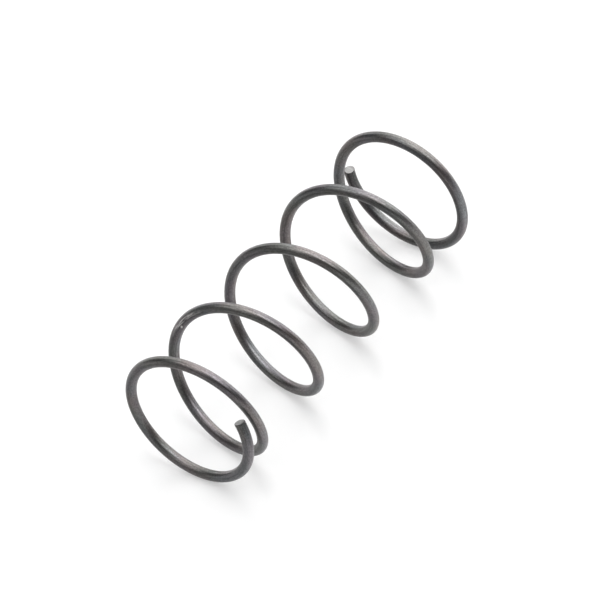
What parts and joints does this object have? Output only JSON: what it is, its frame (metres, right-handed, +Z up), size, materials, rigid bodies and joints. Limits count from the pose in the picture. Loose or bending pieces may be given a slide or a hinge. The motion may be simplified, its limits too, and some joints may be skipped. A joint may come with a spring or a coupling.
{
  "type": "compression spring",
  "caption": "Small open-coil compression spring of round steel wire, wound right-handed, with flat-wound plain-cut ends; it pushes back when squeezed along its axis.",
  "frame": {"origin": "under the middle of the spring, on the surface it lies on: the centre of the bounding box in X and Y, at its bottom", "axes": "+X along the winding axis, from the first tip's end to the last tip's end; +Z up; the spring lies on its side"},
  "size_m": [0.0344, 0.0136, 0.0136],
  "materials": {
    "dark_spring_wire": "dark oil-tempered drawn steel wire, satin, with fine lengthwise drawing lines and pale cut tips"
  },
  "bodies": {
    "root": {"coil_spring": "dark_spring_wire"}
  },
  "joints": []
}
